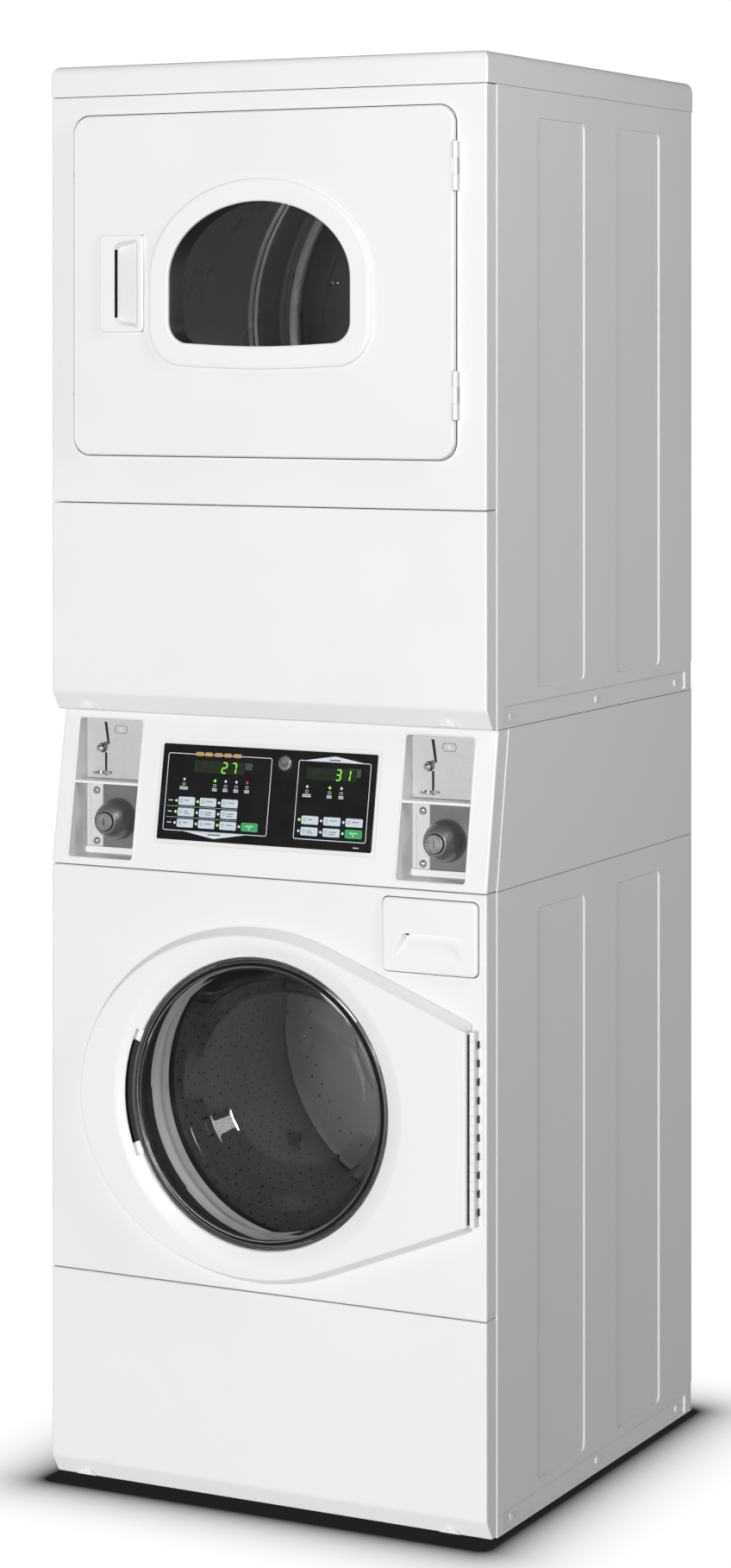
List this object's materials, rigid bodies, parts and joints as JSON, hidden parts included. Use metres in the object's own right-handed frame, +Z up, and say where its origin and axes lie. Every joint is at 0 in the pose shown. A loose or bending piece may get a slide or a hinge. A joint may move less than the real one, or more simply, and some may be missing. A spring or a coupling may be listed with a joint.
{
  "type": "stacked washer and dryer",
  "caption": "Coin-operated laundry stack: a front-loading washer with a round glass door, a sloped console with coin units, and a tumble dryer above with a windowed door.",
  "frame": {"origin": "bottom centre of the machine, on the floor under the levelling feet", "axes": "+Z up, -Y out of the front, +X to the right as seen from the front"},
  "size_m": [0.683, 0.7606, 1.991],
  "materials": {
    "white_enamel": "gloss enamel",
    "white_plastic": "satin",
    "galvanised_steel": "zinc coated",
    "foot_steel": "zinc coated",
    "stainless_steel": "brushed",
    "chrome": "polished",
    "black_overlay": "semi-gloss film",
    "pale_key": "satin",
    "green_key": "satin",
    "grey_plate": "fine speckle",
    "dark_vault": "satin",
    "grey_rubber": "matt",
    "black_rubber": "matt",
    "glass": "polished",
    "motor_paint": "painted"
  },
  "bodies": {
    "cabinet": {"blower_housing": "galvanised_steel", "coin_drop_left": "grey_plate", "coin_drop_right": "grey_plate", "console_cabinet": "white_enamel", "console_fascia": "white_enamel", "control_overlay": "black_overlay", "door_gasket": "grey_rubber", "dryer_belt": "black_rubber", "dryer_cabinet": "white_enamel", "dryer_front_panel": "white_enamel", "dryer_lower_panel": "white_enamel", "dryer_motor": "motor_paint", "levelling_foot_front_left": "foot_steel", "levelling_foot_front_right": "foot_steel", "levelling_foot_rear_left": "foot_steel", "levelling_foot_rear_right": "foot_steel", "top_lid": "white_enamel", "washer_base": "galvanised_steel", "washer_belt": "black_rubber", "washer_cabinet": "white_enamel", "washer_door_hinge": "stainless_steel", "washer_front_panel": "white_enamel", "washer_lower_panel": "white_enamel", "washer_motor": "motor_paint", "washer_tub": "stainless_steel"},
    "washer_door": {"washer_door_frame": "white_plastic", "washer_door_glass": "glass"},
    "dryer_door": {"dryer_door": "white_enamel", "window_bezel": "white_plastic", "window_glass": "glass", "dryer_door_handle": "white_plastic"},
    "dispenser_drawer": {"dispenser_drawer": "white_plastic"},
    "washer_drum": {"washer_drum": "stainless_steel"},
    "motor_pulley": {"motor_pulley": "galvanised_steel"},
    "dryer_drum": {"dryer_drum": "galvanised_steel"},
    "blower_wheel": {"blower_wheel": "galvanised_steel"},
    "lint_filter": {"lint_filter": "white_plastic"},
    "coin_vault_left": {"coin_vault_left": "dark_vault"},
    "coin_vault_right": {"coin_vault_right": "dark_vault"},
    "vault_lock_left": {"vault_lock_left": "stainless_steel"},
    "vault_lock_right": {"vault_lock_right": "stainless_steel"},
    "coin_return_button_left": {"coin_return_button_left": "chrome"},
    "coin_return_button_right": {"coin_return_button_right": "chrome"},
    "service_lock": {"service_lock": "stainless_steel"},
    "dryer_key_1_1": {"dryer_key_1_1": "pale_key"},
    "dryer_key_1_2": {"dryer_key_1_2": "pale_key"},
    "dryer_key_1_3": {"dryer_key_1_3": "pale_key"},
    "dryer_key_2_1": {"dryer_key_2_1": "pale_key"},
    "dryer_key_2_2": {"dryer_key_2_2": "pale_key"},
    "dryer_start_key": {"dryer_start_key": "green_key"},
    "washer_key_1_1": {"washer_key_1_1": "pale_key"},
    "washer_key_1_2": {"washer_key_1_2": "pale_key"},
    "washer_key_1_3": {"washer_key_1_3": "pale_key"},
    "washer_key_2_1": {"washer_key_2_1": "pale_key"},
    "washer_key_2_2": {"washer_key_2_2": "pale_key"},
    "washer_key_2_3": {"washer_key_2_3": "pale_key"},
    "washer_key_3_1": {"washer_key_3_1": "pale_key"},
    "washer_key_3_2": {"washer_key_3_2": "pale_key"},
    "washer_key_3_3": {"washer_key_3_3": "pale_key"},
    "washer_start_key": {"washer_start_key": "green_key"}
  },
  "joints": [
    {"name": "washer_door_swing", "type": "hinge", "parent": "cabinet", "child": "washer_door", "pos_m": [0.3255, -0.3708, 0.5613], "axis": [0, 0, 1], "range_deg": [0, 170]},
    {"name": "dryer_door_swing", "type": "hinge", "parent": "cabinet", "child": "dryer_door", "pos_m": [0.2975, -0.3668, 1.68265], "axis": [0, 0, 1], "range_deg": [0, 170]},
    {"name": "dispenser_slide", "type": "slide", "parent": "cabinet", "child": "dispenser_drawer", "axis": [0, -1, 0], "range_m": [0, 0.18]},
    {"name": "washer_drum_spin", "type": "hinge", "parent": "cabinet", "child": "washer_drum", "pos_m": [0, -0.0583, 0.5613], "axis": [0, 1, 0], "continuous": true},
    {"name": "dryer_drum_spin", "type": "hinge", "parent": "cabinet", "child": "dryer_drum", "pos_m": [0, -0.0083, 1.636], "axis": [0, 1, 0], "continuous": true},
    {"name": "coin_vault_left_slide", "type": "slide", "parent": "cabinet", "child": "coin_vault_left", "axis": [0, -1, 0], "range_m": [0, 0.2]},
    {"name": "coin_vault_right_slide", "type": "slide", "parent": "cabinet", "child": "coin_vault_right", "axis": [0, -1, 0], "range_m": [0, 0.2]},
    {"name": "lint_filter_lift", "type": "slide", "parent": "cabinet", "child": "lint_filter", "axis": [0, 0, 1], "range_m": [0, 0.2]},
    {"name": "motor_pulley_spin", "type": "hinge", "parent": "cabinet", "child": "motor_pulley", "pos_m": [0, 0.2417, 0.15], "axis": [0, 1, 0], "continuous": true},
    {"name": "blower_wheel_spin", "type": "hinge", "parent": "cabinet", "child": "blower_wheel", "pos_m": [-0.1, -0.1583, 1.21], "axis": [0, 1, 0], "continuous": true},
    {"name": "vault_lock_left_turn", "type": "hinge", "parent": "coin_vault_left", "child": "vault_lock_left", "pos_m": [-0.2585, -0.3483, 0.93], "axis": [0, 1, 0], "range_deg": [0, 90]},
    {"name": "vault_lock_right_turn", "type": "hinge", "parent": "coin_vault_right", "child": "vault_lock_right", "pos_m": [0.2583, -0.3483, 0.93], "axis": [0, 1, 0], "range_deg": [0, 90]},
    {"name": "service_lock_turn", "type": "hinge", "parent": "cabinet", "child": "service_lock", "pos_m": [0.0215, -0.33152, 1.02442], "axis": [0, -0.9856, 0.1688], "range_deg": [0, 90]},
    {"name": "coin_return_button_left_press", "type": "slide", "parent": "cabinet", "child": "coin_return_button_left", "axis": [0, 1, 0], "range_m": [0, 0.003], "stiffness_N_per_m": 300},
    {"name": "coin_return_button_right_press", "type": "slide", "parent": "cabinet", "child": "coin_return_button_right", "axis": [0, 1, 0], "range_m": [0, 0.003], "stiffness_N_per_m": 300},
    {"name": "dryer_key_1_1_press", "type": "slide", "parent": "cabinet", "child": "dryer_key_1_1", "axis": [0, 0.9856, -0.1688], "range_m": [0, 0.0005], "stiffness_N_per_m": 800},
    {"name": "dryer_key_1_2_press", "type": "slide", "parent": "cabinet", "child": "dryer_key_1_2", "axis": [0, 0.9856, -0.1688], "range_m": [0, 0.0005], "stiffness_N_per_m": 800},
    {"name": "dryer_key_1_3_press", "type": "slide", "parent": "cabinet", "child": "dryer_key_1_3", "axis": [0, 0.9856, -0.1688], "range_m": [0, 0.0005], "stiffness_N_per_m": 800},
    {"name": "dryer_key_2_1_press", "type": "slide", "parent": "cabinet", "child": "dryer_key_2_1", "axis": [0, 0.9856, -0.1688], "range_m": [0, 0.0005], "stiffness_N_per_m": 800},
    {"name": "dryer_key_2_2_press", "type": "slide", "parent": "cabinet", "child": "dryer_key_2_2", "axis": [0, 0.9856, -0.1688], "range_m": [0, 0.0005], "stiffness_N_per_m": 800},
    {"name": "dryer_start_key_press", "type": "slide", "parent": "cabinet", "child": "dryer_start_key", "axis": [0, 0.9856, -0.1688], "range_m": [0, 0.0005], "stiffness_N_per_m": 800},
    {"name": "washer_key_1_1_press", "type": "slide", "parent": "cabinet", "child": "washer_key_1_1", "axis": [0, 0.9856, -0.1688], "range_m": [0, 0.0005], "stiffness_N_per_m": 800},
    {"name": "washer_key_1_2_press", "type": "slide", "parent": "cabinet", "child": "washer_key_1_2", "axis": [0, 0.9856, -0.1688], "range_m": [0, 0.0005], "stiffness_N_per_m": 800},
    {"name": "washer_key_1_3_press", "type": "slide", "parent": "cabinet", "child": "washer_key_1_3", "axis": [0, 0.9856, -0.1688], "range_m": [0, 0.0005], "stiffness_N_per_m": 800},
    {"name": "washer_key_2_1_press", "type": "slide", "parent": "cabinet", "child": "washer_key_2_1", "axis": [0, 0.9856, -0.1688], "range_m": [0, 0.0005], "stiffness_N_per_m": 800},
    {"name": "washer_key_2_2_press", "type": "slide", "parent": "cabinet", "child": "washer_key_2_2", "axis": [0, 0.9856, -0.1688], "range_m": [0, 0.0005], "stiffness_N_per_m": 800},
    {"name": "washer_key_2_3_press", "type": "slide", "parent": "cabinet", "child": "washer_key_2_3", "axis": [0, 0.9856, -0.1688], "range_m": [0, 0.0005], "stiffness_N_per_m": 800},
    {"name": "washer_key_3_1_press", "type": "slide", "parent": "cabinet", "child": "washer_key_3_1", "axis": [0, 0.9856, -0.1688], "range_m": [0, 0.0005], "stiffness_N_per_m": 800},
    {"name": "washer_key_3_2_press", "type": "slide", "parent": "cabinet", "child": "washer_key_3_2", "axis": [0, 0.9856, -0.1688], "range_m": [0, 0.0005], "stiffness_N_per_m": 800},
    {"name": "washer_key_3_3_press", "type": "slide", "parent": "cabinet", "child": "washer_key_3_3", "axis": [0, 0.9856, -0.1688], "range_m": [0, 0.0005], "stiffness_N_per_m": 800},
    {"name": "washer_start_key_press", "type": "slide", "parent": "cabinet", "child": "washer_start_key", "axis": [0, 0.9856, -0.1688], "range_m": [0, 0.0005], "stiffness_N_per_m": 800}
  ],
  "couplings": [
    {"joint": "motor_pulley_spin", "follows": "washer_drum_spin", "ratio": 6.3636},
    {"joint": "blower_wheel_spin", "follows": "dryer_drum_spin", "ratio": 21.571}
  ]
}
